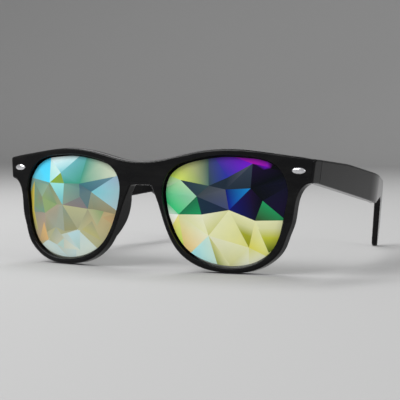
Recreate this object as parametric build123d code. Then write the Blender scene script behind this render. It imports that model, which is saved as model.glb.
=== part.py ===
from build123d import *
import math
import os

# Diffraction glasses: a moulded horn-rimmed front, two faceted lenses and two folding arms.
# Millimetres. The pieces are drawn with the front upright, the bridge face at Y = 0 and
# the middle of the lenses at Z = 0, and are then set down on the rims and the arm tips.

# Front, seen square on
front_half_width = 73.0
brow_height = 21.35
rim_drop = 28.3
corner_height = 17.3
side_slope = 6.0
brow_fall = 11.3
front_depth = 5.2
wing_angle = 8.2
bridge_bend_radius = 98.0
bridge_under_height = 6.1
bridge_under_half_width = 4.9
nose_corner_radius = 1.5
outer_edge_radius = 1.0
back_edge_radius = 0.5
opening_edge_radius = 0.45

# Openings in the rims
opening_side_margin = 10.75
opening_nose_margin = 10.25
opening_centre_z = -3.75
opening_half_height = 22.35
opening_half_width = (front_half_width - opening_side_margin - opening_nose_margin) / 2
opening_centre_x = opening_nose_margin + opening_half_width

# Nose pads, moulded on the back of the rims
pad_rise = 4.0
pad_top = 5.6
pad_foot = -19.8
pad_middle = -5.4
pad_edge_radius = 0.4
pad_reach_x = 24.0

# End pieces, which wrap back to the arms
lug_bottom = 8.1
lug_top = 17.6
lug_thickness = 4.5
lug_back = 17.2
lug_edge_radius = 0.7
lug_corner_radius = 1.8

# Lens seats and lenses
lens_seat_depth = 3.4
lens_rim_thickness = 1.0
lens_rim_width = 0.5
lens_clearance = 0.05
crown_inset = 0.7
crown_rise = 3.1

# Hinges
hinge_inset = 7.6
hinge_height = 7.2
knuckle_radius = 1.7
knuckle_gap = 0.1
screw_radius = 0.7
screw_clearance = 0.05
screw_head_radius = 1.2
screw_head_height = 0.6
screw_slot = 0.35
leaf_thickness = 1.2
leaf_corner_radius = 0.8
front_leaf_inner_reach = 2.1
front_leaf_outer_reach = 1.4
middle_knuckle_height = 2.4
arm_leaf_length = 10.4
arm_leaf_sink = 0.55
arm_leaf_setback = 2.3
leaf_clearance = 0.05
leaf_screw_radius = 0.75
leaf_screw_length = 3.4
leaf_screw_head_radius = 1.3
leaf_screw_head_height = 0.5
leaf_screw_spacing = 5.0

# Rivets with oval heads on the face of the front
rivet_inset = 6.3
rivet_height = 12.9
rivet_head_width = 5.5
rivet_head_height = 2.7
rivet_head_rise = 0.75
rivet_shank_radius = 0.8
rivet_clearance = 0.03
rivet_seat_depth = 0.3
rivet_tail_radius = 1.0
rivet_tail_height = 0.4

# Arms
arm_gap = 0.3
arm_butt_thickness = 4.5
arm_ear_thickness = 3.3
arm_tip_thickness = 2.7
arm_straight_length = 65.5
arm_bend_radius = 73.0
arm_toe_in = 1.2
arm_bend_angle = 13.3
arm_ear_length = 80.0
arm_ear_bottom = 0.9
arm_crook_length = 101.5
arm_crook_bottom = 4.2
arm_shoulder_top = 12.0
arm_middle_length = 33.0
arm_middle_drop = 0.5
arm_top_radius = 150.0
tip_angle = 58.7
tip_length = 30.4
tip_width = 9.0
tip_round_share = 0.49
ear_corner_radius = 5.0
crook_radius = 6.0
shoulder_radius = 9.0
arm_edge_radius = 0.8

cut_overrun = 5.0
touch_tolerance = 0.01
blank_reach = 160.0

# Outline of the front as shares of its half width and of its height above or below the middle
brow_shares = [(0.0, 0.742), (0.136, 0.787), (0.272, 0.895), (0.408, 0.979), (0.516, 1.0), (0.68, 0.967),
               (0.842, 0.895)]
rim_shares = [(0.948, 0.345), (0.913, 0.2), (0.897, 0.03), (0.877, -0.293), (0.857, -0.435), (0.826, -0.645),
              (0.763, -0.825), (0.68, -0.944), (0.591, -0.994), (0.49, -0.994), (0.394, -0.955), (0.306, -0.86),
              (0.231, -0.7), (0.175, -0.468), (0.142, -0.26), (0.111, -0.035), (0.082, 0.17)]

# Outline of an opening as shares of its half width, outwards, and of its half height
opening_shares = [(0.996, 0.196), (0.97, 0.569), (0.854, 0.785), (0.625, 0.938), (0.311, 0.991), (-0.045, 1.0),
                  (-0.363, 0.952), (-0.655, 0.868), (-0.876, 0.714), (-0.996, 0.451), (-0.989, 0.152),
                  (-0.891, -0.257), (-0.708, -0.626), (-0.438, -0.864), (-0.139, -0.978), (0.217, -1.0),
                  (0.517, -0.912), (0.749, -0.723), (0.895, -0.411)]

# Corners of the lens facets: shares of the opening's half width and half height, and of the crown's rise
facet_corner_shares = {
    "brow_inner": (-0.3, 1.135, 0.25), "brow_outer": (0.495, 1.155, 0.2), "temple_top": (1.005, 0.715, 0.1),
    "temple_upper": (1.125, 0.575, 0.3), "temple_lower": (1.125, -0.12, 0.35), "cheek_side": (1.045, -0.515, 0.1),
    "cheek_corner": (0.84, -0.86, 0.25), "foot_outer": (0.39, -1.125, 0.12), "foot_inner": (-0.055, -1.125, 0.3),
    "cheek_inner": (-0.625, -0.86, 0.28), "nose_lower": (-0.96, -0.475, 0.1), "nose_middle": (-1.095, -0.07, 0.3),
    "nose_upper": (-1.135, 0.31, 0.12), "nose_top": (-1.095, 0.685, 0.25), "brow_nose": (-0.725, 1.01, 0.1),
    "crest": (-0.24, 0.45, 1.0), "nose_peak": (-0.44, 0.255, 0.86), "ridge": (0.025, 0.39, 0.93),
    "brow_point": (0.045, 0.605, 0.72), "brow_peak": (0.425, 0.86, 0.5), "temple_peak": (0.425, 0.42, 0.94),
    "middle": (0.095, 0.025, 1.0), "nose_star": (-0.735, 0.545, 0.42), "nose_base": (-0.755, -0.08, 0.4),
    "valley": (-0.35, -0.07, 0.9), "outer_star": (0.605, 0.205, 0.66), "outer_base": (0.505, -0.15, 0.88),
    "lower_peak": (-0.23, -0.445, 0.84), "lower_star": (0.405, -0.63, 0.6),
}

# The left lens has its facets cut a little apart from the right one's
left_corner_shares = {
    "crest": (-0.15, 0.44, 1.0), "ridge": (0.185, 0.44, 0.93), "brow_point": (0.285, 0.645, 0.7),
    "brow_peak": (0.535, 0.91, 0.45), "temple_peak": (0.51, 0.45, 0.9), "middle": (0.2, 0.025, 1.0),
    "nose_peak": (-0.405, 0.29, 0.86), "nose_star": (-0.85, 0.585, 0.36), "nose_base": (-0.85, -0.05, 0.36),
    "valley": (-0.34, -0.035, 0.88), "outer_star": (0.67, 0.145, 0.66), "outer_base": (0.545, -0.14, 0.84),
    "lower_peak": (-0.135, -0.435, 0.84), "lower_star": (0.485, -0.62, 0.58), "temple_top": (0.94, 0.98, 0.1),
}

girdle = ["brow_inner", "brow_outer", "temple_top", "temple_upper", "temple_lower", "cheek_side",
          "cheek_corner", "foot_outer", "foot_inner", "cheek_inner", "nose_lower", "nose_middle",
          "nose_upper", "nose_top", "brow_nose"]

facets = [
    ("brow_nose", "brow_inner", "crest"), ("brow_nose", "crest", "nose_star"),
    ("brow_nose", "nose_star", "nose_top"), ("nose_top", "nose_star", "nose_upper"),
    ("nose_star", "nose_peak", "nose_upper"), ("nose_upper", "nose_peak", "nose_base"),
    ("nose_upper", "nose_base", "nose_middle"), ("nose_star", "crest", "nose_peak"),
    ("nose_peak", "crest", "ridge"), ("nose_peak", "ridge", "middle"), ("nose_peak", "middle", "valley"),
    ("nose_peak", "valley", "nose_base"), ("brow_inner", "brow_point", "crest"),
    ("brow_inner", "brow_peak", "brow_point"), ("brow_inner", "brow_outer", "brow_peak"),
    ("crest", "brow_point", "ridge"), ("brow_point", "brow_peak", "ridge"),
    ("brow_peak", "temple_peak", "ridge"), ("ridge", "temple_peak", "middle"),
    ("brow_outer", "temple_top", "brow_peak"), ("brow_peak", "temple_top", "temple_peak"),
    ("temple_top", "temple_upper", "temple_peak"), ("temple_peak", "temple_upper", "outer_star"),
    ("outer_star", "temple_upper", "temple_lower"), ("outer_star", "temple_lower", "outer_base"),
    ("temple_peak", "outer_star", "outer_base"), ("temple_peak", "outer_base", "middle"),
    ("nose_middle", "nose_base", "nose_lower"), ("nose_base", "valley", "lower_peak"),
    ("nose_base", "lower_peak", "cheek_inner"), ("nose_base", "cheek_inner", "nose_lower"),
    ("valley", "middle", "lower_peak"), ("middle", "lower_star", "lower_peak"),
    ("middle", "outer_base", "lower_star"), ("outer_base", "cheek_corner", "lower_star"),
    ("outer_base", "temple_lower", "cheek_corner"), ("temple_lower", "cheek_side", "cheek_corner"),
    ("lower_peak", "lower_star", "foot_inner"), ("lower_peak", "foot_inner", "cheek_inner"),
    ("lower_star", "cheek_corner", "foot_outer"), ("lower_star", "foot_outer", "foot_inner"),
]

left_facets = [facet for facet in facets if facet not in (("brow_point", "brow_peak", "ridge"),
                                                          ("brow_peak", "temple_peak", "ridge"))]
left_facets += [("brow_point", "brow_peak", "temple_peak"), ("brow_point", "temple_peak", "ridge")]

wing_sin = math.sin(math.radians(wing_angle))
wing_cos = math.cos(math.radians(wing_angle))
side_tan = math.tan(math.radians(side_slope))


# A point of the right wing in plan: run along the wing from where it leaves the bend, depth behind its face
def wing_point(run, depth):
    x = (bridge_bend_radius - depth) * wing_sin + run * wing_cos
    y = bridge_bend_radius - (bridge_bend_radius - depth) * wing_cos + run * wing_sin
    return x, y


# How far back the layer at a given depth lies at a place across the right wing
def wing_back(x, depth):
    bend_x, bend_y = wing_point(0, depth)
    return bend_y + (x - bend_x) * wing_sin / wing_cos


# The layer of the bent front between two depths behind its face
def front_layer(near, far):
    near_bend = wing_point(0, near)
    near_end = wing_point(front_half_width, near)
    far_bend = wing_point(0, far)
    far_end = wing_point(front_half_width, far)
    centre = (0, bridge_bend_radius)
    start = 270 - wing_angle
    edges = [
        Line((-near_end[0], near_end[1]), (-near_bend[0], near_bend[1])),
        CenterArc(centre, bridge_bend_radius - near, start, 2 * wing_angle),
        Line(near_bend, near_end),
        Line(near_end, far_end),
        Line(far_end, far_bend),
        CenterArc(centre, bridge_bend_radius - far, start, 2 * wing_angle),
        Line((-far_bend[0], far_bend[1]), (-far_end[0], far_end[1])),
        Line((-far_end[0], far_end[1]), (-near_end[0], near_end[1])),
    ]
    foot = Pos(0, 0, -rim_drop - cut_overrun) * make_face(edges)
    return extrude(foot, amount=rim_drop + brow_height + 2 * cut_overrun, dir=(0, 0, 1))


def upright(x, z):
    return x, 0, z


# The outline of the front
def front_outline():
    brow = [upright(x * front_half_width, z * brow_height) for x, z in brow_shares]
    rim = [upright(x * front_half_width, z * (brow_height if z > 0 else rim_drop)) for x, z in rim_shares]
    corner = upright(front_half_width, corner_height)
    side_foot = upright(front_half_width - (corner_height - lug_bottom) * side_tan, lug_bottom)
    nose = upright(bridge_under_half_width, bridge_under_height)
    top = Spline(brow + [corner], tangents=[(1, 0, 0), (1, 0, -math.tan(math.radians(brow_fall)))])
    edges = [top, Line(corner, side_foot), Spline([side_foot] + rim), Line(rim[-1], nose)]
    edges = edges + [mirror(edge, about=Plane.YZ) for edge in edges]
    under = Line(nose, (-nose[0], 0, nose[2]))
    face = Face(Wire(Curve(edges + [under]).edges()))
    noses = [vertex for vertex in face.vertices()
             if abs(abs(vertex.X) - nose[0]) + abs(vertex.Z - nose[2]) < touch_tolerance]
    return face.fillet_2d(nose_corner_radius, noses)


# The outline of one opening, grown by a margin
def opening_outline(margin):
    points = [upright(opening_centre_x + x * opening_half_width, opening_centre_z + z * opening_half_height)
              for x, z in opening_shares]
    curve = Spline(points, periodic=True)
    if margin:
        count = 2 * len(points)
        outward = [(curve % (step / count)).cross(Vector(0, 1, 0)) for step in range(count)]
        grown = [curve @ (step / count) - outward[step] * margin for step in range(count)]
        curve = Spline(grown, periodic=True)
    return Face(Wire(curve))


def through(face, start, length):
    return extrude(Pos(0, start, 0) * face, amount=length, dir=(0, 1, 0))


# A solid whose top is the cut facets of a lens, standing on a flat foot behind the lens rim
def facet_block(corners, crown_facets):
    foot_depth = lens_seat_depth + lens_rim_thickness / 2
    places = {}
    feet = {}
    for name, (x, z, rise) in corners.items():
        across = opening_centre_x + x * opening_half_width
        up = opening_centre_z + z * opening_half_height
        back = wing_back(across, lens_seat_depth - rise * crown_rise)
        places[name] = Vector(across, back, up)
        feet[name] = Vector(across, wing_back(across, foot_depth), up)
    faces = [Face(Wire.make_polygon([places[name] for name in facet])) for facet in crown_facets]
    for name, after in zip(girdle, girdle[1:] + girdle[:1]):
        faces.append(Face(Wire.make_polygon([places[name], places[after], feet[after], feet[name]])))
    faces.append(Face(Wire.make_polygon([feet[name] for name in girdle])))
    return Solid(Shell(faces))


# A lens of the right side: a thin rim for the groove and a crown of cut facets in front of it
def make_lens(corners, crown_facets):
    rim = through(opening_outline(lens_rim_width), -cut_overrun, blank_reach)
    rim = rim & front_layer(lens_seat_depth, lens_seat_depth + lens_rim_thickness)
    crown = facet_block(corners, crown_facets) & through(opening_outline(-crown_inset), -cut_overrun, blank_reach)
    return rim + crown


# How far a point lies behind the face of the front
def depth_behind_face(point):
    bend_x, bend_y = wing_point(0, 0)
    x = abs(point.X)
    if x > bend_x:
        return (point.Y - wing_back(x, 0)) * wing_cos
    return bridge_bend_radius - math.hypot(x, bridge_bend_radius - point.Y)


# The edges all round the front at one depth, without the seams between the bend and the wings
def rim_edges(solid, depth):
    chosen = []
    for edge in solid.edges():
        inner = edge @ 0.3
        is_level = all(abs(depth_behind_face(place) - depth) < touch_tolerance
                       for place in (edge @ 0, inner, edge @ 1))
        seam_x = wing_point(0, depth)[0]
        is_seam = all(abs(abs(place.X) - seam_x) < touch_tolerance for place in (edge @ 0, inner, edge @ 1))
        if is_level and not is_seam:
            chosen.append(edge)
    return chosen


def is_round_opening(edge):
    for place in (edge @ 0, edge @ 0.5, edge @ 1):
        across = abs(abs(place.X) - opening_centre_x) - opening_half_width
        up = abs(place.Z - opening_centre_z) - opening_half_height
        if max(across, up) > opening_edge_radius:
            return False
    return True


# The upright edges at the two ends, where the face turns back into the end pieces
def is_end_corner(edge):
    middle = edge @ 0.5
    return lug_bottom < middle.Z < corner_height and abs(middle.X) > side_x(lug_bottom) - touch_tolerance


# The face of the outline's slanted side at a height
def side_x(z):
    return front_half_width - (corner_height - z) * side_tan


# A place on the face of the right wing, looking out along its normal
def wing_plane(x, z):
    return Plane(origin=(x, wing_back(x, 0), z), x_dir=(wing_cos, wing_sin, 0), z_dir=(wing_sin, -wing_cos, 0))


rivet_x = front_half_width - rivet_inset
hinge_x = front_half_width - hinge_inset
hinge_y = lug_back + arm_gap
hinge_bottom = rivet_height - hinge_height / 2
hinge_top = rivet_height + hinge_height / 2


def upright_cylinder(x, y, radius, bottom, top):
    return Pos(x, y, (bottom + top) / 2) * Cylinder(radius, top - bottom)


def block(low, high):
    size = [b - a for a, b in zip(low, high)]
    middle = [(a + b) / 2 for a, b in zip(low, high)]
    return Pos(*middle) * Box(*size)


# The end piece on the right, from inside the wing back to the arm
def end_piece():
    inner = front_half_width - lug_thickness
    corners = [upright(inner, lug_bottom), upright(side_x(lug_bottom), lug_bottom),
               upright(side_x(lug_top), lug_top), upright(inner, lug_top)]
    face = Face(Wire.make_polygon(corners))
    start = wing_back(inner, front_depth / 2)
    piece = through(face, start, lug_back - start)
    return fillet(piece.edges().filter_by(Axis.Y), lug_edge_radius)


# The nose pads: the rims' nasal walls, drawn out behind the front in a rounded hump
def nose_pads(outline):
    root = front_depth / 2
    hump = Spline((0, root, pad_top), (0, front_depth + pad_rise, pad_middle), (0, root, pad_foot))
    side = Face(Wire([hump, Line(hump @ 1, hump @ 0)]))
    slab = extrude(Pos(-pad_reach_x, 0, 0) * side, amount=2 * pad_reach_x, dir=(1, 0, 0))
    pads = slab & through(outline, -cut_overrun, blank_reach)
    ridges = [edge for edge in pads.edges()
              if (edge @ 0.5).Y > front_depth and abs((edge @ 0.5).X) < pad_reach_x - touch_tolerance]
    return fillet(ridges, pad_edge_radius)


def rivet_oval(clearance, depth, rise):
    oval = Ellipse(rivet_head_width / 2 + clearance, rivet_head_height / 2 + clearance)
    return extrude(Pos(0, 0, -depth) * oval, amount=depth + rise)


# The rivet: oval domed head, seat in the face, shank and the tail that holds the hinge leaf
def make_rivet():
    reach = front_depth + leaf_thickness
    dome = split(scale(Sphere(1), by=(rivet_head_width / 2, rivet_head_height / 2, rivet_head_rise)), Plane.XY,
                 keep=Keep.TOP)
    seat = rivet_oval(0, rivet_seat_depth, 0)
    shank = Pos(0, 0, -reach / 2) * Cylinder(rivet_shank_radius, reach)
    tail = Pos(0, 0, -reach - rivet_tail_height / 2) * Cylinder(rivet_tail_radius, rivet_tail_height)
    return wing_plane(rivet_x, rivet_height).location * (dome + seat + shank + tail)


# What the rivet needs cut out of the front and of the leaf behind it
def rivet_hole():
    seat = rivet_oval(rivet_clearance, rivet_seat_depth, cut_overrun)
    reach = front_depth + leaf_thickness + rivet_tail_height
    shank = Pos(0, 0, -reach / 2) * Cylinder(rivet_shank_radius + rivet_clearance, reach)
    return wing_plane(rivet_x, rivet_height).location * (seat + shank)


def both_sides(shape):
    return shape + mirror(shape, about=Plane.YZ)


def make_front():
    outline = front_outline()
    front = through(outline, -cut_overrun, blank_reach) & front_layer(0, front_depth)
    front = fillet([edge for edge in rim_edges(front, 0) if is_end_corner(edge)], lug_corner_radius)
    front = fillet(rim_edges(front, 0), outer_edge_radius)
    front = fillet(rim_edges(front, front_depth), back_edge_radius)
    front = front + both_sides(end_piece()) + nose_pads(outline)
    front = front - both_sides(through(opening_outline(0), -cut_overrun, blank_reach))
    front = fillet([edge for edge in rim_edges(front, 0) if is_round_opening(edge)], opening_edge_radius)
    groove = through(opening_outline(lens_rim_width + lens_clearance), -cut_overrun, blank_reach)
    groove = groove & front_layer(lens_seat_depth - lens_clearance,
                                  lens_seat_depth + lens_rim_thickness + lens_clearance)
    front = front - both_sides(groove)
    return front - both_sides(rivet_hole())


# The leaf riveted behind the front, with the two outer knuckles
def make_front_leaf():
    half = hinge_height / 2
    inner = hinge_x - front_leaf_inner_reach - rivet_x
    outer = front_leaf_outer_reach
    plate = Pos((inner + outer) / 2, 0, -front_depth - leaf_thickness / 2) * Box(outer - inner, hinge_height,
                                                                                leaf_thickness)
    plate = fillet(plate.edges().filter_by(Axis.Z), leaf_corner_radius)
    leaf = wing_plane(rivet_x, rivet_height).location * plate
    start = wing_back(hinge_x, front_depth + leaf_thickness / 2)
    for bottom, top in ((rivet_height - half, rivet_height - middle_knuckle_height / 2 - knuckle_gap),
                        (rivet_height + middle_knuckle_height / 2 + knuckle_gap, rivet_height + half)):
        leaf = leaf + block((hinge_x - knuckle_radius, start, bottom), (hinge_x + knuckle_radius, hinge_y, top))
        leaf = leaf + upright_cylinder(hinge_x, hinge_y, knuckle_radius, bottom, top)
    bore = upright_cylinder(hinge_x, hinge_y, screw_radius + screw_clearance, hinge_bottom, hinge_top)
    head = upright_cylinder(hinge_x, hinge_y, screw_head_radius + screw_clearance,
                            hinge_top - screw_head_height, hinge_top)
    return leaf - bore - head - rivet_hole()


# The slotted screw down the middle of the hinge
def make_hinge_screw():
    shank = upright_cylinder(hinge_x, hinge_y, screw_radius, hinge_bottom, hinge_top)
    head = upright_cylinder(hinge_x, hinge_y, screw_head_radius, hinge_top - screw_head_height, hinge_top)
    slot = block((hinge_x - screw_head_radius, hinge_y - screw_slot / 2, hinge_top - screw_slot),
                 (hinge_x + screw_head_radius, hinge_y + screw_slot / 2, hinge_top))
    return shank + head - slot


arm_inner_x = side_x(rivet_height) - arm_butt_thickness
arm_leaf_outer = arm_inner_x + arm_leaf_sink
arm_leaf_inner = arm_leaf_outer - leaf_thickness
arm_leaf_start = hinge_y + arm_leaf_setback
screw_places = [arm_leaf_start + arm_leaf_length / 2 + side * leaf_screw_spacing / 2 for side in (-1, 1)]


def leaf_plate(margin):
    low = (arm_leaf_inner - margin, arm_leaf_start - margin, hinge_bottom - margin)
    high = (arm_leaf_outer, arm_leaf_start + arm_leaf_length + margin, hinge_top + margin)
    return fillet(block(low, high).edges().filter_by(Axis.X), leaf_corner_radius)


def across_cylinder(y, z, radius, start, end):
    return Pos((start + end) / 2, y, z) * Rot(0, 90, 0) * Cylinder(radius, end - start)


# The leaf let into the inner face of the arm, with the middle knuckle
def make_arm_leaf():
    bottom = rivet_height - middle_knuckle_height / 2
    top = rivet_height + middle_knuckle_height / 2
    knuckle = upright_cylinder(hinge_x, hinge_y, knuckle_radius, bottom, top)
    neck = block((hinge_x, hinge_y, bottom), (arm_leaf_outer, arm_leaf_start + leaf_corner_radius, top))
    neck = neck - block((arm_leaf_inner + leaf_clearance, hinge_y - cut_overrun, bottom),
                        (arm_leaf_outer + cut_overrun, arm_leaf_start, top))
    leaf = leaf_plate(0) + knuckle + neck
    leaf = leaf - upright_cylinder(hinge_x, hinge_y, screw_radius + screw_clearance, bottom, top)
    for y in screw_places:
        leaf = leaf - across_cylinder(y, rivet_height, leaf_screw_radius + leaf_clearance, arm_leaf_inner,
                                      arm_leaf_outer)
    return leaf


# The two screws that hold that leaf to the arm
def make_leaf_screws():
    screws = []
    for y in screw_places:
        shank = across_cylinder(y, rivet_height, leaf_screw_radius, arm_leaf_inner,
                                arm_leaf_inner + leaf_screw_length)
        head = across_cylinder(y, rivet_height, leaf_screw_head_radius, arm_leaf_inner - leaf_screw_head_height,
                               arm_leaf_inner)
        slot = block((arm_leaf_inner - leaf_screw_head_height, y - screw_slot / 2,
                      rivet_height - leaf_screw_head_radius),
                     (arm_leaf_inner - leaf_screw_head_height + screw_slot, y + screw_slot / 2,
                      rivet_height + leaf_screw_head_radius))
        screws.append(shank + head - slot)
    return screws


tip_down = math.radians(tip_angle)
tip_run = (math.cos(tip_down), -math.sin(tip_down))
tip_across = (math.sin(tip_down), math.cos(tip_down))


# Corners of the arm seen from the side, from the foot of its butt round the tip to the top of its butt
def arm_corners():
    crook = (hinge_y + arm_crook_length, arm_crook_bottom)
    tip_front = (crook[0] + tip_length * tip_run[0], crook[1] + tip_length * tip_run[1])
    tip_back = (tip_front[0] + tip_width * tip_across[0], tip_front[1] + tip_width * tip_across[1])
    back_length = (arm_shoulder_top - tip_back[1]) / -tip_run[1]
    shoulder = (tip_back[0] - back_length * tip_run[0], arm_shoulder_top)
    return [(hinge_y, lug_bottom), (hinge_y + arm_ear_length, arm_ear_bottom), crook, tip_front, tip_back,
            shoulder, (hinge_y + arm_middle_length, lug_top - arm_middle_drop), (hinge_y, lug_top)]


def arm_side():
    corners = [(0, y, z) for y, z in arm_corners()]
    tip_radius = tip_width * tip_round_share
    radii = [ear_corner_radius, crook_radius, tip_radius, tip_radius, shoulder_radius, arm_top_radius]
    path = FilletPolyline(*corners, radius=radii)
    face = Face(Wire(path.edges() + [Line(corners[-1], corners[0])]))
    return extrude(face, amount=front_half_width + cut_overrun, dir=(1, 0, 0))


# The bowed and slanted slab that gives the arm its thickness
def arm_slab():
    low = -rim_drop - cut_overrun
    toe = math.radians(arm_toe_in)
    end_heading = math.radians(arm_toe_in + arm_bend_angle)
    start = Vector(side_x(low), hinge_y, low)
    ahead = Vector(-math.sin(toe), math.cos(toe), 0)
    ahead_end = Vector(-math.sin(end_heading), math.cos(end_heading), 0)
    inward = Vector(-math.cos(toe), -math.sin(toe), 0)
    inward_end = Vector(-math.cos(end_heading), -math.sin(end_heading), 0)
    bend_start = start + ahead * arm_straight_length
    centre = bend_start + inward * arm_bend_radius
    bend_middle = centre + (inward + inward_end).normalized() * -arm_bend_radius
    bend_end = centre - inward_end * arm_bend_radius
    tip_end = bend_end + ahead_end * (tip_length + tip_width)
    inner_middle = bend_middle + (centre - bend_middle).normalized() * (arm_butt_thickness + arm_ear_thickness) / 2
    edges = [
        Line(start, bend_start),
        ThreePointArc(bend_start, bend_middle, bend_end),
        Line(bend_end, tip_end),
        Line(tip_end, tip_end + inward_end * arm_tip_thickness),
        Line(tip_end + inward_end * arm_tip_thickness, bend_end + inward_end * arm_ear_thickness),
        ThreePointArc(bend_end + inward_end * arm_ear_thickness, inner_middle,
                      bend_start + inward * arm_butt_thickness),
        Line(bend_start + inward * arm_butt_thickness, start + inward * arm_butt_thickness),
        Line(start + inward * arm_butt_thickness, start),
    ]
    face = Face(Wire(edges))
    height = brow_height + rim_drop + 2 * cut_overrun
    return extrude(face, amount=height, dir=(side_tan, 0, 1))


def make_arm():
    arm = arm_side() & arm_slab()
    long_edges = [edge for edge in arm.edges() if (edge @ 0.5).Y > hinge_y + arm_gap]
    arm = fillet(long_edges, arm_edge_radius)
    arm = arm - leaf_plate(leaf_clearance)
    for y in screw_places:
        arm = arm - across_cylinder(y, rivet_height, leaf_screw_radius + leaf_clearance, arm_leaf_inner,
                                    arm_leaf_inner + leaf_screw_length + leaf_clearance)
    return arm


# Set down on the back edge of the rims and on the arm tips
def set_down(pieces):
    rim_back = wing_back(opening_centre_x, front_depth) - back_edge_radius
    corners = arm_corners()
    tip_round = tip_width / 2
    tip_y = (corners[3][0] + corners[4][0]) / 2 - tip_round * tip_run[0]
    tip_z = (corners[3][1] + corners[4][1]) / 2 - tip_round * tip_run[1] - tip_round
    lean = math.degrees(math.atan2(tip_z + rim_drop, tip_y - rim_back))
    turned = {name: Rot(-lean, 0, 0) * piece for name, piece in pieces.items()}
    box = Compound(list(turned.values())).bounding_box()
    shift = Pos(0, -(box.min.Y + box.max.Y) / 2, -box.min.Z)
    hinge = shift * Rot(-lean, 0, 0) * Pos(hinge_x, hinge_y, rivet_height)
    print("lean", lean, "hinge", hinge.position, "shift", shift.position)
    return {name: shift * piece for name, piece in turned.items()}


def main():
    os.makedirs("parts", exist_ok=True)
    right_lens = make_lens(facet_corner_shares, facets)
    left_lens = make_lens({**facet_corner_shares, **left_corner_shares}, left_facets)
    pieces = {"front_frame": make_front()}
    paired = {
        "lens": (right_lens, left_lens),
        "rivet": make_rivet(),
        "front_hinge_leaf": make_front_leaf(),
        "hinge_screw": make_hinge_screw(),
        "temple_hinge_leaf": make_arm_leaf(),
        "temple_leaf_screws": Compound(make_leaf_screws()),
        "temple": make_arm(),
    }
    for name, shape in paired.items():
        right, left = shape if isinstance(shape, tuple) else (shape, shape)
        pieces[name + "_right"] = right
        pieces[name + "_left"] = mirror(left, about=Plane.YZ)
    for name, piece in set_down(pieces).items():
        export_step(piece, "parts/" + name + ".step")


main()
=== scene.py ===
import bpy
import bmesh
import itertools
import math
from mathutils import Matrix, Vector


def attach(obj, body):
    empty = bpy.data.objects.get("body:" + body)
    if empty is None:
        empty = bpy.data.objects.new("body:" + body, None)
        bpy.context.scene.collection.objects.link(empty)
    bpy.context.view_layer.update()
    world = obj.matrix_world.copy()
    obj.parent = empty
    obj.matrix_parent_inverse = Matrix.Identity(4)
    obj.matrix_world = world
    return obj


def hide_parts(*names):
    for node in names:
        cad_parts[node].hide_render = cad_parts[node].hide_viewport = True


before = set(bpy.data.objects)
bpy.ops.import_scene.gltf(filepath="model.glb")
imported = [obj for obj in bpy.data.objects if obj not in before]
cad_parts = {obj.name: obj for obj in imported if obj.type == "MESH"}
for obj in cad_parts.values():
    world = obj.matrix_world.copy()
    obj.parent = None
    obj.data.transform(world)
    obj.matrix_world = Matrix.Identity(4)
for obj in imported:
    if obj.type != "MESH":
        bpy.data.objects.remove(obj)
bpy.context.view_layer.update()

bpy.context.scene.view_settings.view_transform = "Standard"


# A socket that can be added and multiplied, so that shader maths reads as maths
class Value:
    def __init__(self, finish, socket):
        self.finish = finish
        self.socket = socket

    def combine(self, operation, first, second):
        return self.finish.add("ShaderNodeMath", {"operation": operation}, {0: first, 1: second})

    def __add__(self, other):
        return self.combine("ADD", self, other)

    def __mul__(self, other):
        return self.combine("MULTIPLY", self, other)

    __radd__ = __add__
    __rmul__ = __mul__


# The nodes of one material, or of the world
class Finish:
    def __init__(self, owner):
        owner.use_nodes = True
        self.owner = owner
        self.tree = owner.node_tree
        self.tree.nodes.clear()

    # One node of a kind: its settings first, then the values or links of its sockets
    def add(self, kind, settings={}, inputs={}, output=0):
        node = self.tree.nodes.new(kind)
        for key, value in settings.items():
            if key == "stops":
                for element, stop in zip(node.color_ramp.elements, value):
                    element.position, element.color = stop
            else:
                setattr(node, key, value)
        for key, value in inputs.items():
            if isinstance(value, Value):
                self.tree.links.new(value.socket, node.inputs[key])
            else:
                node.inputs[key].default_value = value
        return Value(self, node.outputs[output]) if node.outputs else None

    def place(self, turn=(0, 0, 0), stretch=(1, 1, 1)):
        spot = self.add("ShaderNodeTexCoord", output="Object")
        return self.add("ShaderNodeMapping", {}, {"Vector": spot, "Rotation": turn, "Scale": stretch})

    # Noise whose blotches are about as wide as the size given, in metres
    def noise(self, size, detail=3.0, vector=None):
        return self.add("ShaderNodeTexNoise", {}, {
            "Vector": vector or self.place(), "Scale": 1 / size, "Detail": detail,
        })

    # Grey from black at one amount to white at the other
    def ramp(self, amount, low, high):
        stops = [(low, (0, 0, 0, 1)), (high, (1, 1, 1, 1))]
        return self.add("ShaderNodeValToRGB", {"stops": stops}, {"Fac": amount})

    def mix(self, amount, first, second, blend="MIX"):
        settings = {"data_type": "RGBA", "blend_type": blend}
        return self.add("ShaderNodeMix", settings, {0: amount, 6: first, 7: second}, 2)

    # The amount from 0 to 1 as a roughness between the two given
    def gloss(self, amount, limits):
        low, high = limits
        return amount * (high - low) + low

    def bump(self, height, depth):
        return self.add("ShaderNodeBump", {}, {"Height": height, "Distance": depth})

    def close(self, inputs):
        shader = self.add("ShaderNodeBsdfPrincipled", {}, inputs)
        self.add("ShaderNodeOutputMaterial", {}, {"Surface": shader})
        return self.owner


def newFinish(name):
    return Finish(bpy.data.materials.new(name))


# A colour as it looks on screen, as Blender's linear values
def tone(red, green, blue):
    return tuple(part / 12.92 if part <= 0.04045 else ((part + 0.055) / 1.055) ** 2.4
                 for part in (red, green, blue)) + (1.0,)


# The camera of the photograph: its turn is in degrees, its lens and sensor in millimetres

camera = {
    "place": (0.2383, -0.46772, 0.05666), "turn": (86.542, 0.2457, 27.7416), "lens": 102.12, "sensor": 36,
    "nearest": 0.01,
}

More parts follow.
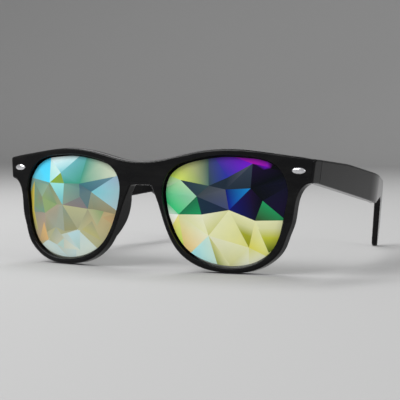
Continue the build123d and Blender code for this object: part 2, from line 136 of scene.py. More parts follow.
cameraData = bpy.data.cameras.new("camera")
cameraData.lens = camera["lens"]
cameraData.sensor_width = camera["sensor"]
cameraData.clip_start = camera["nearest"]
cameraObject = bpy.data.objects.new("camera", cameraData)
cameraObject.location = camera["place"]
cameraObject.rotation_euler = [math.radians(angle) for angle in camera["turn"]]
bpy.context.scene.collection.objects.link(cameraObject)
bpy.context.scene.camera = cameraObject
print("camera placed")


# A pale sweep, soft air and three soft lamps

studio = {
    "floorTone": tone(0.67, 0.67, 0.67), "floorRoughness": 0.9, "backTone": tone(0.72, 0.72, 0.72), "ambient": 0.5,
    "front": 1.5, "back": 1.25, "side": 2.5, "bend": 0.5, "top": 2.0, "steps": 24,
}

lamps = {
    "overhead": {"place": (-0.4, 0.25, 0.75), "aim": (0.0, -0.02, 0.03), "size": (0.8, 0.2), "power": 5.0},
    "frontLeft": {"place": (-0.45, -0.75, 0.85), "aim": (0.0, -0.05, 0.03), "size": (0.9, 0.6), "power": 10.5},
    "right": {"place": (0.8, -0.3, 0.35), "aim": (0.06, 0.0, 0.03), "size": (0.35, 0.35), "power": 1.3},
}


def pieceFrom(mesh, name):
    data = bpy.data.meshes.new(name)
    mesh.to_mesh(data)
    mesh.free()
    piece = bpy.data.objects.new(name, data)
    bpy.context.scene.collection.objects.link(piece)
    return piece


def ofKind(parts, kind):
    return [part for part in parts if isinstance(part, kind)]


# The floor runs from the front to the back, bends up and ends as a wall
def makeSweep():
    mesh = bmesh.new()
    corner = bmesh.ops.create_vert(mesh, co=(-studio["side"], -studio["front"], 0))["vert"]
    bmesh.ops.extrude_vert_indiv(mesh, verts=corner)
    mesh.verts.ensure_lookup_table()
    mesh.verts[-1].co.x = studio["side"]
    floor = bmesh.ops.extrude_edge_only(mesh, edges=mesh.edges[:])["geom"]
    ends = ofKind(floor, bmesh.types.BMVert)
    bmesh.ops.translate(mesh, verts=ends, vec=(0, studio["front"] + studio["back"], 0))
    bend = bmesh.ops.spin(mesh, geom=ends + ofKind(floor, bmesh.types.BMEdge), axis=(1, 0, 0),
                          cent=(0, studio["back"], studio["bend"]), angle=math.radians(90),
                          steps=studio["steps"])["geom_last"]
    wall = bmesh.ops.extrude_edge_only(mesh, edges=ofKind(bend, bmesh.types.BMEdge))["geom"]
    bmesh.ops.translate(mesh, verts=ofKind(wall, bmesh.types.BMVert), vec=(0, 0, studio["top"]))
    for face in mesh.faces:
        face.smooth = True
    bmesh.ops.recalc_face_normals(mesh, faces=mesh.faces[:])
    sweep = pieceFrom(mesh, "studio_sweep")
    paper = newFinish("studio_paper")
    sweep.data.materials.append(paper.close({
        "Base Color": studio["floorTone"], "Roughness": studio["floorRoughness"],
    }))


# Soft light from all sides, and a pale tone where the camera, a mirror or glass looks past the floor
def makeAir():
    world = bpy.data.worlds.new("studio_air")
    bpy.context.scene.world = world
    air = Finish(world)
    path = air.add("ShaderNodeLightPath", output="Is Camera Ray")
    rays = path.socket.node
    seen = (path + Value(air, rays.outputs["Is Glossy Ray"])
            + Value(air, rays.outputs["Is Transmission Ray"]))
    light = air.add("ShaderNodeBackground", {}, {"Color": (1, 1, 1, 1), "Strength": studio["ambient"]})
    backdrop = air.add("ShaderNodeBackground", {}, {"Color": studio["backTone"], "Strength": 1.0})
    both = air.add("ShaderNodeMixShader", {}, {0: seen, 1: light, 2: backdrop})
    air.add("ShaderNodeOutputWorld", {}, {"Surface": both})


def makeLamps():
    for name, lamp in lamps.items():
        data = bpy.data.lights.new(name, "AREA")
        data.shape = "RECTANGLE"
        data.size, data.size_y = lamp["size"]
        data.energy = lamp["power"]
        light = bpy.data.objects.new(name, data)
        light.location = lamp["place"]
        aim = Vector(lamp["aim"]) - Vector(lamp["place"])
        light.rotation_euler = aim.to_track_quat("-Z", "Y").to_euler()
        bpy.context.scene.collection.objects.link(light)


makeSweep()
makeAir()
makeLamps()
print("studio made")


# Finishes of the moulded and metal pieces

blackPlastic = {
    "tone": (0.0035, 0.0035, 0.004, 1), "dust": (0.009, 0.009, 0.009, 1), "dustFrom": 0.45, "dustTo": 0.8,
    "rippleSize": 0.009, "rippleDetail": 1.5, "rippleDepth": 0.00001,
    "grainSize": 0.0004, "grainDetail": 2.0, "grainDepth": 0.0000006,
    "wipeSize": 0.006, "wipeDetail": 4.0, "wipeTurn": (0.2, 0.1, 0.4), "wipeStretch": (0.35, 1.0, 1.6),
    "gloss": (0.07, 0.13), "refraction": 1.24,
}


def makeBlackPlastic():
    look = blackPlastic
    finish = newFinish("black_moulded_plastic")
    ripple = finish.noise(look["rippleSize"], look["rippleDetail"])
    grain = finish.noise(look["grainSize"], look["grainDetail"])
    wiped = finish.noise(look["wipeSize"], look["wipeDetail"], finish.place(look["wipeTurn"], look["wipeStretch"]))
    height = ripple * look["rippleDepth"] + grain * look["grainDepth"]
    dusty = finish.ramp(wiped, look["dustFrom"], look["dustTo"])
    return finish.close({
        "Base Color": finish.mix(dusty, look["tone"], look["dust"]),
        "Roughness": finish.gloss(wiped, look["gloss"]),
        "IOR": look["refraction"],
        "Normal": finish.bump(height, 1.0),
    })


polishedRivet = {
    "tone": tone(0.93, 0.93, 0.94), "worn": tone(0.8, 0.8, 0.82), "gloss": (0.1, 0.26),
    "lineSize": 0.0004, "lineStretch": (0.15, 1.0, 1.0), "lineDepth": 0.000004,
}


def makePolishedRivet():
    look = polishedRivet
    finish = newFinish("polished_rivet_metal")
    lines = finish.noise(look["lineSize"], vector=finish.place(stretch=look["lineStretch"]))
    return finish.close({
        "Base Color": finish.mix(lines, look["tone"], look["worn"]),
        "Metallic": 1.0,
        "Roughness": finish.gloss(lines, look["gloss"]),
        "Normal": finish.bump(lines, look["lineDepth"]),
    })


hingeSteel = {
    "tone": tone(0.78, 0.78, 0.77), "dark": tone(0.6, 0.6, 0.6), "stainSize": 0.002, "gloss": (0.22, 0.42),
    "lineSize": 0.0003, "lineDetail": 4.0, "lineDepth": 0.000006,
    "brushed": (1.0, 0.12, 1.0), "turned": (1.0, 1.0, 0.2),
}


# Steel with fine lines that run the way of its stretch
def makeHingeSteel(name, stretch):
    look = hingeSteel
    finish = newFinish(name)
    lines = finish.noise(look["lineSize"], look["lineDetail"], finish.place(stretch=stretch))
    stain = finish.noise(look["stainSize"])
    return finish.close({
        "Base Color": finish.mix(stain, look["tone"], look["dark"]),
        "Metallic": 1.0,
        "Roughness": finish.gloss(lines, look["gloss"]),
        "Normal": finish.bump(lines, look["lineDepth"]),
    })


moulded = makeBlackPlastic()
rivetMetal = makePolishedRivet()
brushedSteel = makeHingeSteel("brushed_hinge_steel", hingeSteel["brushed"])
turnedSteel = makeHingeSteel("turned_screw_steel", hingeSteel["turned"])

nodeFinishes = {
    "front_frame": moulded, "temple_right": moulded, "temple_left": moulded,
    "rivet_right": rivetMetal, "rivet_left": rivetMetal,
    "front_hinge_leaf_right": brushedSteel, "front_hinge_leaf_left": brushedSteel,
    "temple_hinge_leaf_right": brushedSteel, "temple_hinge_leaf_left": brushedSteel,
    "hinge_screw_right": turnedSteel, "hinge_screw_left": turnedSteel,
    "temple_leaf_screws_right": turnedSteel, "temple_leaf_screws_left": turnedSteel,
}
for name, finish in nodeFinishes.items():
    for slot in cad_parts[name].material_slots:
        slot.material = finish
print("moulded and metal finishes set")


# Where the lenses sit, in metres and degrees: the front leans back about its bridge, and each wing turns back past
# the bridge's bend
lensPlace = {
    "bridge": (0, -0.0684757, 0.0288588), "lean": 3.68787, "centre": (0.03625, -0.00375), "half": (0.026, 0.02235),
    "bend": 0.098, "wing": 8.2, "seat": 0.0034,
}

# The corners of the facets, as shares of the opening's half width outwards and of its half height
facetCorners = {
    "browInner": (-0.3, 1.135), "browOuter": (0.495, 1.155), "templeTop": (1.005, 0.715),
    "templeUpper": (1.125, 0.575), "templeLower": (1.125, -0.12), "cheekSide": (1.045, -0.515),
    "cheekCorner": (0.84, -0.86), "footOuter": (0.39, -1.125), "footInner": (-0.055, -1.125),
    "cheekInner": (-0.625, -0.86), "noseLower": (-0.96, -0.475), "noseMiddle": (-1.095, -0.07),
    "noseUpper": (-1.135, 0.31), "noseTop": (-1.095, 0.685), "browNose": (-0.725, 1.01), "crest": (-0.24, 0.45),
    "nosePeak": (-0.44, 0.255), "ridge": (0.025, 0.39), "browPoint": (0.045, 0.605), "browPeak": (0.425, 0.86),
    "templePeak": (0.425, 0.42), "middle": (0.095, 0.025), "noseStar": (-0.735, 0.545),
    "noseBase": (-0.755, -0.08), "valley": (-0.35, -0.07), "outerStar": (0.605, 0.205),
    "outerBase": (0.505, -0.15), "lowerPeak": (-0.23, -0.445), "lowerStar": (0.405, -0.63),
}

# Corners that the left lens has in other places
leftCorners = {
    "crest": (-0.15, 0.44), "ridge": (0.185, 0.44), "browPoint": (0.285, 0.645), "browPeak": (0.535, 0.91),
    "templePeak": (0.51, 0.45), "middle": (0.2, 0.025), "nosePeak": (-0.405, 0.29), "noseStar": (-0.85, 0.585),
    "noseBase": (-0.85, -0.05), "valley": (-0.34, -0.035), "outerStar": (0.67, 0.145),
    "outerBase": (0.545, -0.14), "lowerPeak": (-0.135, -0.435), "lowerStar": (0.485, -0.62),
    "templeTop": (0.94, 0.98),
}

# The right lens's colours, as they look on screen; orchid and purple are the top facets' own violet, made lighter
# as painted light where the rim shades them
tints = {
    "white": tone(0.96, 0.97, 0.93), "cream": tone(0.9, 0.9, 0.78), "butter": tone(0.92, 0.88, 0.56),
    "yellow": tone(0.88, 0.85, 0.34), "lime": tone(0.68, 0.88, 0.2), "yellowGreen": tone(0.8, 0.86, 0.4),
    "paleGreen": tone(0.7, 0.84, 0.64), "emerald": tone(0.2, 0.78, 0.47), "leaf": tone(0.12, 0.6, 0.36),
    "fern": tone(0.12, 0.42, 0.28), "moss": tone(0.2, 0.26, 0.14), "olive": tone(0.58, 0.59, 0.08),
    "darkOlive": tone(0.3, 0.38, 0.03), "steel": tone(0.2, 0.24, 0.3), "slate": tone(0.11, 0.15, 0.26),
    "night": tone(0.12, 0.17, 0.22), "taupe": tone(0.24, 0.28, 0.3), "graphite": tone(0.31, 0.33, 0.39),
    "blueSlate": tone(0.24, 0.28, 0.44), "deepTeal": tone(0.1, 0.19, 0.25), "ink": tone(0.0, 0.02, 0.05),
    "navy": tone(0.06, 0.06, 0.16), "indigo": tone(0.32, 0.2, 0.58), "violet": tone(0.46, 0.07, 0.8),
    "purple": tone(0.64, 0.1, 0.84), "bluebell": tone(0.16, 0.2, 0.6), "duskBlue": tone(0.26, 0.27, 0.46),
    "orchid": tone(0.56, 0.12, 0.86), "primrose": tone(0.93, 0.93, 0.56), "magenta": tone(0.66, 0.08, 0.68),
    "plum": tone(0.1, 0.03, 0.19), "blue": tone(0.05, 0.08, 0.4), "royal": tone(0.06, 0.08, 0.56),
    "cerulean": tone(0.08, 0.52, 0.78), "aqua": tone(0.6, 0.92, 0.95), "ice": tone(0.8, 0.9, 0.84),
    "pineTeal": tone(0.3, 0.42, 0.39), "darkPine": tone(0.2, 0.29, 0.3), "shade": tone(0.16, 0.23, 0.28),
    "sageMint": tone(0.6, 0.79, 0.66), "vanilla": tone(0.9, 0.9, 0.71), "straw": tone(0.84, 0.84, 0.62),
    "hay": tone(0.8, 0.8, 0.5), "forest": tone(0.1, 0.46, 0.29), "sunlit": tone(0.87, 0.86, 0.5),
    "melon": tone(0.93, 0.76, 0.42), "grassOlive": tone(0.5, 0.56, 0.12), "mustard": tone(0.68, 0.68, 0.02),
    "kelp": tone(0.65, 0.66, 0.18), "parchment": tone(0.86, 0.86, 0.63), "broom": tone(0.76, 0.77, 0.24),
}

# Each facet by its corners, with the tint at each corner
rightFacets = [
    ("browNose browInner crest", "hay darkPine pineTeal"),
    ("browNose crest noseStar", "hay pineTeal yellowGreen"),
    ("browNose noseStar noseTop", "hay yellowGreen lime"),
    ("noseTop noseStar noseUpper", "lime paleGreen sageMint"),
    ("noseStar nosePeak noseUpper", "paleGreen sageMint emerald"),
    ("noseUpper nosePeak noseBase", "emerald sageMint emerald"),
    ("noseUpper noseBase noseMiddle", "emerald sageMint white"),
    ("noseStar crest nosePeak", "shade darkPine shade"), ("nosePeak crest ridge", "taupe taupe graphite"),
    ("nosePeak ridge middle", "taupe graphite blueSlate"),
    ("nosePeak middle valley", "deepTeal slate deepTeal"), ("nosePeak valley noseBase", "fern leaf forest"),
    ("browInner browPoint crest", "duskBlue bluebell darkPine"),
    ("browInner browPeak browPoint", "indigo violet bluebell"),
    ("browInner browOuter browPeak", "orchid purple magenta"), ("crest browPoint ridge", "night night night"),
    ("browPoint browPeak ridge", "night graphite night"), ("browPeak templePeak ridge", "steel night night"),
    ("ridge templePeak middle", "blue cerulean royal"),
    ("browOuter templeTop browPeak", "purple purple magenta"),
    ("browPeak templeTop templePeak", "plum ink ink"), ("templeTop templeUpper templePeak", "ink navy ink"),
    ("templePeak templeUpper outerStar", "ink navy ink"),
    ("outerStar templeUpper templeLower", "navy navy plum"),
    ("outerStar templeLower outerBase", "leaf leaf moss"), ("templePeak outerStar outerBase", "plum ink navy"),
    ("templePeak outerBase middle", "plum navy blue"), ("noseMiddle noseBase noseLower", "white white butter"),
    ("noseBase valley lowerPeak", "straw cream vanilla"),
    ("noseBase lowerPeak cheekInner", "straw cream melon"),
    ("noseBase cheekInner noseLower", "butter lime yellow"), ("valley middle lowerPeak", "cream straw hay"),
    ("middle lowerStar lowerPeak", "vanilla sunlit vanilla"),
    ("middle outerBase lowerStar", "vanilla vanilla mustard"),
    ("outerBase cheekCorner lowerStar", "vanilla primrose yellow"),
    ("outerBase templeLower cheekCorner", "vanilla vanilla mustard"),
    ("templeLower cheekSide cheekCorner", "vanilla hay grassOlive"),
    ("lowerPeak lowerStar footInner", "cream vanilla hay"), ("lowerPeak footInner cheekInner", "ice ice aqua"),
    ("lowerStar cheekCorner footOuter", "sunlit white white"),
    ("lowerStar footOuter footInner", "vanilla white hay"),
]

# The left lens's colours, which are paler; the near-white tint of its top facets is a painted reflection
leftTints = {
    "sky": tone(0.32, 0.84, 0.98), "snow": tone(0.92, 1.0, 0.99), "frost": tone(0.8, 0.92, 0.9),
    "celadon": tone(0.3, 0.6, 0.54), "seaGreen": tone(0.25, 0.59, 0.49), "lagoon": tone(0.42, 0.7, 0.72),
    "linen": tone(0.82, 0.85, 0.75), "mist": tone(0.67, 0.77, 0.79), "lilac": tone(0.62, 0.72, 0.79),
    "powder": tone(0.47, 0.77, 0.8), "storm": tone(0.28, 0.43, 0.49), "bluegrey": tone(0.4, 0.55, 0.6),
    "jade": tone(0.46, 0.63, 0.57), "smoke": tone(0.42, 0.48, 0.5), "mauve": tone(0.5, 0.46, 0.47),
    "tan": tone(0.74, 0.64, 0.46), "apricot": tone(0.85, 0.69, 0.44), "grass": tone(0.52, 0.64, 0.22),
    "meadow": tone(0.48, 0.62, 0.32), "lichen": tone(0.5, 0.56, 0.44), "pewter": tone(0.46, 0.57, 0.56),
    "mintCyan": tone(0.6, 0.87, 0.85), "sand": tone(0.7, 0.7, 0.54), "rose": tone(0.64, 0.58, 0.54),
    # shell, cloud, pearl, iceBlue and seaMist are the lower facets' own pale colours, made a little lighter as
    # painted light for facets that face down
    "stone": tone(0.62, 0.62, 0.5), "shell": tone(0.78, 0.79, 0.72), "cloud": tone(0.75, 0.83, 0.82),
    "pearl": tone(0.84, 0.87, 0.81), "gold": tone(0.82, 0.74, 0.32), "dusk": tone(0.05, 0.06, 0.06),
    "spruce": tone(0.24, 0.46, 0.48), "fir": tone(0.36, 0.56, 0.51), "moonstone": tone(0.38, 0.5, 0.5),
    "laurel": tone(0.54, 0.6, 0.53), "heather": tone(0.53, 0.5, 0.47), "tealGrey": tone(0.43, 0.58, 0.51),
    "greyGreen": tone(0.57, 0.67, 0.57), "hazel": tone(0.53, 0.54, 0.43), "dill": tone(0.48, 0.59, 0.42),
    "clover": tone(0.55, 0.64, 0.43), "mushroom": tone(0.65, 0.61, 0.52), "peach": tone(0.84, 0.68, 0.46),
    "ash": tone(0.61, 0.64, 0.57), "driftwood": tone(0.6, 0.59, 0.43), "rust": tone(0.76, 0.62, 0.44),
    "ivy": tone(0.53, 0.64, 0.43), "wheat": tone(0.72, 0.7, 0.47), "sandstone": tone(0.75, 0.75, 0.65),
    "iceBlue": tone(0.72, 0.84, 0.85), "seaMist": tone(0.7, 0.8, 0.76), "copper": tone(0.64, 0.57, 0.42),
    "bark": tone(0.2, 0.19, 0.04), "slateGreen": tone(0.37, 0.47, 0.48),
}

leftFacets = [
    ("browNose browInner crest", "linen celadon seaGreen"), ("browNose crest noseStar", "linen seaGreen linen"),
    ("browNose noseStar noseTop", "linen linen mist"), ("noseTop noseStar noseUpper", "mist lilac mist"),
    ("noseStar nosePeak noseUpper", "lilac powder mist"), ("noseUpper nosePeak noseBase", "mist powder mist"),
    ("noseUpper noseBase noseMiddle", "mist mist mist"), ("noseStar crest nosePeak", "bluegrey spruce storm"),
    ("nosePeak crest ridge", "moonstone fir jade"), ("nosePeak ridge middle", "moonstone jade laurel"),
    ("nosePeak middle valley", "smoke heather mauve"), ("nosePeak valley noseBase", "laurel hazel copper"),
    ("browInner browPoint crest", "lagoon lagoon seaGreen"),
    ("browInner browPeak browPoint", "snow snow powder"), ("browInner browOuter browPeak", "snow snow snow"),
    ("crest browPoint ridge", "seaGreen lagoon seaGreen"),
    ("browPoint browPeak templePeak", "frost frost mintCyan"),
    ("browPoint templePeak ridge", "grass grass meadow"),
    ("ridge templePeak middle", "mintCyan mintCyan lagoon"), ("browOuter templeTop browPeak", "snow sky sky"),
    ("browPeak templeTop templePeak", "sky sky sky"), ("templeTop templeUpper templePeak", "sky lagoon sky"),
    ("templePeak templeUpper outerStar", "jade pewter jade"),
    ("outerStar templeUpper templeLower", "jade pewter lichen"),
    ("outerStar templeLower outerBase", "lichen pewter lichen"),
    ("templePeak outerStar outerBase", "lichen meadow meadow"),
    ("templePeak outerBase middle", "lichen meadow stone"), ("noseMiddle noseBase noseLower", "tan tan wheat"),
    ("noseBase valley lowerPeak", "tan stone sand"), ("noseBase lowerPeak cheekInner", "tan sand sand"),
    ("noseBase cheekInner noseLower", "tan wheat wheat"), ("valley middle lowerPeak", "sand sand stone"),
    ("middle lowerStar lowerPeak", "stone sand stone"), ("middle outerBase lowerStar", "stone rose sand"),
    ("outerBase cheekCorner lowerStar", "rose tan sand"),
    ("outerBase templeLower cheekCorner", "rose lichen tan"),
    ("templeLower cheekSide cheekCorner", "gold gold gold"),
    ("lowerPeak lowerStar footInner", "cloud sandstone cloud"),
    ("lowerPeak footInner cheekInner", "cloud pearl pearl"),
    ("lowerStar cheekCorner footOuter", "cloud pearl pearl"),
    ("lowerStar footOuter footInner", "cloud pearl cloud"),
]

# Smaller glints that the cut throws inside the lenses, and the shades across large facets, laid over the facets
glintCorners = {
    "stripTop": (0.895, 0.475), "stripMiddle": (0.885, -0.06), "stripFoot": (0.78, -0.49),
    "stripOut": (1.05, 0.1), "stripLow": (0.965, -0.415), "greyTip": (0.7, 0.165), "greyLeft": (0.88, -0.02),
    "mossTip": (0.54, 0.41), "cloverEnd": (0.33, 0.03), "cloverFoot": (0.61, -0.145),
    "mushroomFoot": (0.57, -0.515), "streakTip": (0.635, -0.315), "streakLeft": (0.755, -0.705),
    "streakRight": (0.53, -0.67), "ashFoot": (0.165, -0.48), "ashSide": (0.36, -0.41),
    "sandTip": (0.18, -0.615), "sandFoot": (0.345, -0.75), "blueSide": (0.1, -0.525),
    "blueTop": (-0.18, -0.445), "blueFoot": (-0.165, -0.83), "shellFoot": (0.19, -0.81),
    "ivySide": (-0.66, -0.065), "ivyFoot": (-0.52, -0.355), "rustTop": (-1.05, -0.07),
    "rustFoot": (-0.95, -0.38), "rustTip": (-0.62, -0.18), "copperTip": (-0.42, 0.275),
    "copperFoot": (-0.445, -0.035), "wheatTip": (-0.42, -0.265), "wheatFoot": (-0.6, -0.625),
    "wheatSide": (-0.22, -0.435), "greenEnd": (1.125, -0.27), "slateTip": (-0.16, 0.205),
    "copperEnd": (-1.06, -0.155), "grassSide": (0.1, -0.95), "oliveLeft": (0.554, -0.293),
    "oliveRight": (1.068, -0.268), "broomLeft": (0.612, -0.45), "broomRight": (1.005, -0.431),
    "oliveTip": (0.709, -0.712), "kelpLeft": (0.188, -0.1715), "kelpRight": (0.475, -0.294),
    "stemLeft": (0.281, -0.368), "stemRight": (0.445, -0.438), "bandTop": (0.63, 0.965),
    "bandLow": (0.634, 0.815), "bandEnd": (0.722, 0.822), "bandRim": (0.8, 0.95), "bandSag": (0.595, 0.748),
    "bandStop": (0.705, 0.779),
}
rightGlints = [
    ("outerStar templeLower greenEnd", "navy navy plum"),
    ("oliveLeft oliveRight broomLeft", "parchment parchment broom"),
    ("oliveRight broomRight broomLeft", "parchment broom broom"),
    ("broomLeft broomRight oliveTip", "broom broom darkOlive"),
    # This glint darkens its facet to olive green towards the lowest corner: a painted shadow
    ("lowerPeak footInner grassSide", "hay grassOlive vanilla"),
    ("kelpLeft kelpRight stemLeft", "straw straw kelp"), ("kelpRight stemRight stemLeft", "straw kelp kelp"),
    ("stemLeft stemRight lowerStar", "kelp kelp olive"), ("bandTop bandLow bandEnd", "purple purple ink"),
    ("bandTop bandEnd bandRim", "purple ink ink"), ("bandLow bandEnd bandStop", "purple ink ink"),
    ("bandEnd bandRim templeTop", "ink ink ink"), ("bandEnd templeTop bandStop", "ink ink ink"),
    ("browPeak bandLow bandSag", "ink violet ink"), ("bandLow bandStop bandSag", "violet ink ink"),
]
leftGlints = [
    ("stripTop stripMiddle stripOut", "gold gold bark"), ("stripMiddle stripLow stripOut", "gold bark bark"),
    ("stripMiddle stripFoot stripLow", "gold wheat bark"),
    ("stripTop mossTip greyTip", "tealGrey greyGreen greyGreen"),
    ("stripTop greyTip greyLeft", "tealGrey hazel dill"),
    ("greyTip cloverFoot greyLeft", "hazel tealGrey dill"), ("mossTip cloverEnd greyTip", "laurel dill clover"),
    ("greyTip cloverEnd cloverFoot", "clover clover clover"),
    ("cloverEnd ashSide cloverFoot", "mushroom ash mushroom"),
    ("cloverFoot ashSide mushroomFoot", "mushroom ash driftwood"),
    ("middle ashSide cloverEnd", "ash ash mushroom"), ("middle ashFoot ashSide", "ash ash ash"),
    ("middle lowerPeak ashFoot", "laurel driftwood driftwood"),
    ("streakTip streakLeft streakRight", "apricot tan peach"),
    ("ashSide sandTip sandFoot", "ash sandstone sandstone"),
    ("ashSide sandFoot streakRight", "ash sandstone sand"),
    ("blueSide blueTop blueFoot", "iceBlue iceBlue seaMist"),
    ("sandTip blueFoot shellFoot", "shell pearl shell"),
    ("sandTip shellFoot sandFoot", "seaMist seaMist seaMist"),
    ("copperTip copperEnd copperFoot", "laurel copper hazel"), ("valley ivySide ivyFoot", "sand ivy sand"),
    ("rustTop rustFoot rustTip", "copper rust tan"), ("wheatTip wheatFoot wheatSide", "stone wheat wheat"),
    ("crest nosePeak slateTip", "storm slateGreen slateGreen"),
    ("nosePeak valley slateTip", "slateGreen slateGreen slateGreen"),
]

# The tint of the flat border round each crown, by the angle round the opening: 0 at the temple, 90 at the top
rightBorder = [
    (-180, "ink"), (-122, "ink"), (-105, "white"), (-62, "white"), (-45, "darkOlive"), (-30, "ink"), (180, "ink"),
]
leftBorder = [
    (-180, "dusk"), (-120, "shell"), (-60, "shell"), (-48, "dusk"), (-38, "gold"), (14, "gold"), (22, "dusk"),
    (180, "dusk"),
]

# Lengths in metres, angles in degrees; facing is how squarely a face looks forwards to count as front or back
lensLook = {
    "edgeWidth": 0.00005, "flatAngle": 0.4, "edgeAngle": 2.0, "seatRoom": 0.00015, "facing": 0.5,
    "mergeDistance": 0.000001, "cutDistance": 0.0000001, "seenThrough": 0.45, "glassShade": tone(0.24, 0.27, 0.28),
}


def leanMatrix():
    return Matrix.Rotation(math.radians(lensPlace["lean"]), 3, "X")


# A point as the upright front sees it, from the middle of the bridge
def uprightPoint(point):
    return leanMatrix() @ (point - Vector(lensPlace["bridge"]))


# A point of the lens as shares of its opening's half width and half height
def openingShares(point):
    upright = uprightPoint(point)
    return ((abs(upright.x) - lensPlace["centre"][0]) / lensPlace["half"][0],
            (upright.z - lensPlace["centre"][1]) / lensPlace["half"][1])


# How far a point lies behind the front's own front face
def depthInFront(point):
    upright = uprightPoint(point)
    wing = math.radians(lensPlace["wing"])
    run = abs(upright.x) - lensPlace["bend"] * math.sin(wing)
    surface = lensPlace["bend"] * (1 - math.cos(wing)) + run * math.tan(wing)
    return (upright.y - surface) * math.cos(wing)


# How much of each corner of a facet a place has
def cornerShares(place, corners):
    (ax, ay), (bx, by), (cx, cy) = corners
    area = (bx - ax) * (cy - ay) - (cx - ax) * (by - ay)
    second = ((place[0] - ax) * (cy - ay) - (cx - ax) * (place[1] - ay)) / area
    third = ((bx - ax) * (place[1] - ay) - (place[0] - ax) * (by - ay)) / area
    return 1 - second - third, second, third


def blendTint(share, first, second):
    return [one + (other - one) * share for one, other in zip(first, second)]


# A face that lies on a facet or glint: each corner takes its share of the three tints, muted where it is seen
# through the glass
def tintFacet(face, layer, facets, shade):
    middle = openingShares(face.calc_center_median())
    fits = [(min(cornerShares(middle, places)), order) for order, (places, hues, onTop) in enumerate(facets)]
    glints = [order for fit, order in fits if fit > 0 and facets[order][2]]
    places, hues, onTop = facets[glints[0] if glints else max(fits)[1]]
    for loop in face.loops:
        shares = [max(share, 0) for share in cornerShares(openingShares(loop.vert.co), places)]
        tint = [sum(share * part for share, part in zip(shares, parts)) / sum(shares) for parts in zip(*hues)]
        loop[layer] = blendTint(shade, tint, lensLook["glassShade"])


# A face beside the crown: its tint changes round the opening
def tintBorder(face, layer, border, palette):
    for loop in face.loops:
        across, up = openingShares(loop.vert.co)
        angle = math.degrees(math.atan2(up, across))
        for (start, first), (end, second) in zip(border, border[1:]):
            if start <= angle <= end:
                loop[layer] = blendTint((angle - start) / (end - start), palette[first], palette[second])


# A corner given in shares of the opening, in metres from the middle of the bridge
def cornerPlace(corner):
    return [middle + share * half for middle, share, half in zip(lensPlace["centre"], corner, lensPlace["half"])]


# The faces on one side of a lens are divided along the lines between the corners of its facets and glints
def divideSide(mesh, side, forward, mirrored, facets):
    turnBack = leanMatrix().transposed()
    lines = {tuple(sorted(pair)) for places, hues, onTop in facets for pair in itertools.combinations(places, 2)}
    for start, end in sorted(lines):
        (startX, startZ), (endX, endZ) = cornerPlace(start), cornerPlace(end)
        across = turnBack @ Vector(((endZ - startZ) * mirrored, 0, startX - endX))
        onLine = turnBack @ Vector((startX * mirrored, 0, startZ)) + Vector(lensPlace["bridge"])
        faces = [face for face in mesh.faces if face.normal.dot(forward) * side > lensLook["facing"]]
        edges = dict.fromkeys(edge for face in faces for edge in face.edges)
        verts = dict.fromkeys(vert for face in faces for vert in face.verts)
        bmesh.ops.bisect_plane(mesh, geom=[*faces, *edges, *verts], dist=lensLook["cutDistance"], plane_co=onLine,
                               plane_no=across.normalized())


# The flat faces of the CAD lens are put together again, and its edges softened
def softenLens(mesh, forward):
    bmesh.ops.remove_doubles(mesh, verts=mesh.verts[:], dist=lensLook["mergeDistance"])
    bmesh.ops.dissolve_limit(mesh, verts=mesh.verts[:], edges=mesh.edges[:],
                             angle_limit=math.radians(lensLook["flatAngle"]))
    seams = [edge for edge in mesh.edges if len(edge.link_faces) == 2
             and all(face.normal.dot(forward) > lensLook["facing"] for face in edge.link_faces)
             and edge.calc_face_angle() > math.radians(lensLook["edgeAngle"])]
    bmesh.ops.bevel(mesh, geom=seams, offset=lensLook["edgeWidth"], offset_type="OFFSET", segments=1, profile=0.5,
                    affect="EDGES", material=-1)


# The crown shows its tints in full, the back shows them through the glass, and the rim's side is clear glass
def tintLens(mesh, forward, facets, palette, border):
    layer = mesh.loops.layers.float_color.new("facetTint")
    for face in mesh.faces:
        face.smooth = False
        facing = face.normal.dot(forward)
        depth = depthInFront(face.calc_center_median())
        if facing < -lensLook["facing"]:
            tintFacet(face, layer, facets, lensLook["seenThrough"])
        elif facing > lensLook["facing"] and depth < lensPlace["seat"] - lensLook["seatRoom"]:
            tintFacet(face, layer, facets, 0)
        elif depth < lensPlace["seat"] + lensLook["seatRoom"]:
            tintBorder(face, layer, border, palette)
        else:
            face.material_index = 1


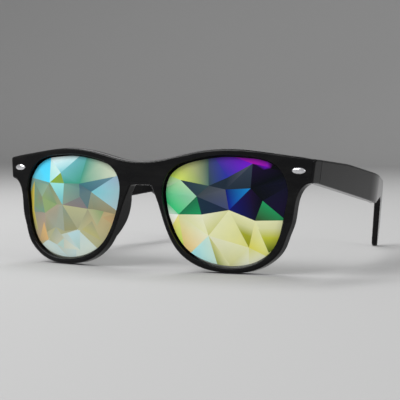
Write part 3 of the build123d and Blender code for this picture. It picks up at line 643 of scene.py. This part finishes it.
def makeLens(side, corners, facets, glints, palette, border):
    places = {**corners, **glintCorners}
    facets = [([places[name] for name in names.split()], [palette[name] for name in hues.split()], onTop)
              for group, onTop in ((facets, False), (glints, True)) for names, hues in group]
    forward = leanMatrix().transposed() @ Vector((0, -1, 0))
    mirrored = 1 if side == "right" else -1
    mesh = bmesh.new()
    mesh.from_mesh(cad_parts["lens_" + side].data)
    softenLens(mesh, forward)
    divideSide(mesh, 1, forward, mirrored, facets)
    divideSide(mesh, -1, forward, mirrored, facets)
    tintLens(mesh, forward, facets, palette, border)
    piece = pieceFrom(mesh, "cut_lens_" + side)
    piece.data.materials.append(facetFinish)
    piece.data.materials.append(glassFinish)
    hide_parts("lens_" + side)
    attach(piece, "front")


facetCoating = {
    "cloudSize": 0.004, "cloudTone": (0.9, 0.93, 0.97, 1), "gloss": (0.06, 0.14), "refraction": 1.2,
    "smearSize": 0.0015, "smearDetail": 2.0, "smearTurn": (0, 0.5, 0), "smearStretch": (1.0, 1.0, 0.3),
    "coat": 0.06, "coatGloss": 0.03,
}


# The tint of each facet, a little deeper in faint clouds
def makeFacetFinish():
    look = facetCoating
    finish = newFinish("iridescent_facet_coating")
    tint = finish.add("ShaderNodeAttribute", {"attribute_name": "facetTint"})
    cloud = finish.noise(look["cloudSize"])
    drawn = finish.place(look["smearTurn"], look["smearStretch"])
    smear = finish.noise(look["smearSize"], look["smearDetail"], drawn)
    deeper = finish.mix(1.0, tint, look["cloudTone"], "MULTIPLY")
    return finish.close({
        "Base Color": finish.mix(cloud, tint, deeper),
        "Roughness": finish.gloss(smear, look["gloss"]),
        "IOR": look["refraction"],
        "Coat Weight": look["coat"],
        "Coat Roughness": look["coatGloss"],
    })


edgeGlass = {
    "cloudSize": 0.003, "tone": tone(0.42, 0.47, 0.47), "pale": tone(0.55, 0.6, 0.58), "gloss": (0.04, 0.09),
    "refraction": 1.5, "coatGloss": 0.02,
}


def makeGlassFinish():
    look = edgeGlass
    finish = newFinish("lens_edge_glass")
    cloud = finish.noise(look["cloudSize"])
    return finish.close({
        "Base Color": finish.mix(cloud, look["tone"], look["pale"]),
        "Roughness": finish.gloss(cloud, look["gloss"]),
        "IOR": look["refraction"],
        "Coat Weight": 1.0,
        "Coat Roughness": look["coatGloss"],
    })


facetFinish = makeFacetFinish()
glassFinish = makeGlassFinish()
makeLens("right", facetCorners, rightFacets, rightGlints, tints, rightBorder)
makeLens("left", {**facetCorners, **leftCorners}, leftFacets, leftGlints, leftTints, leftBorder)
print("lenses cut and coated")
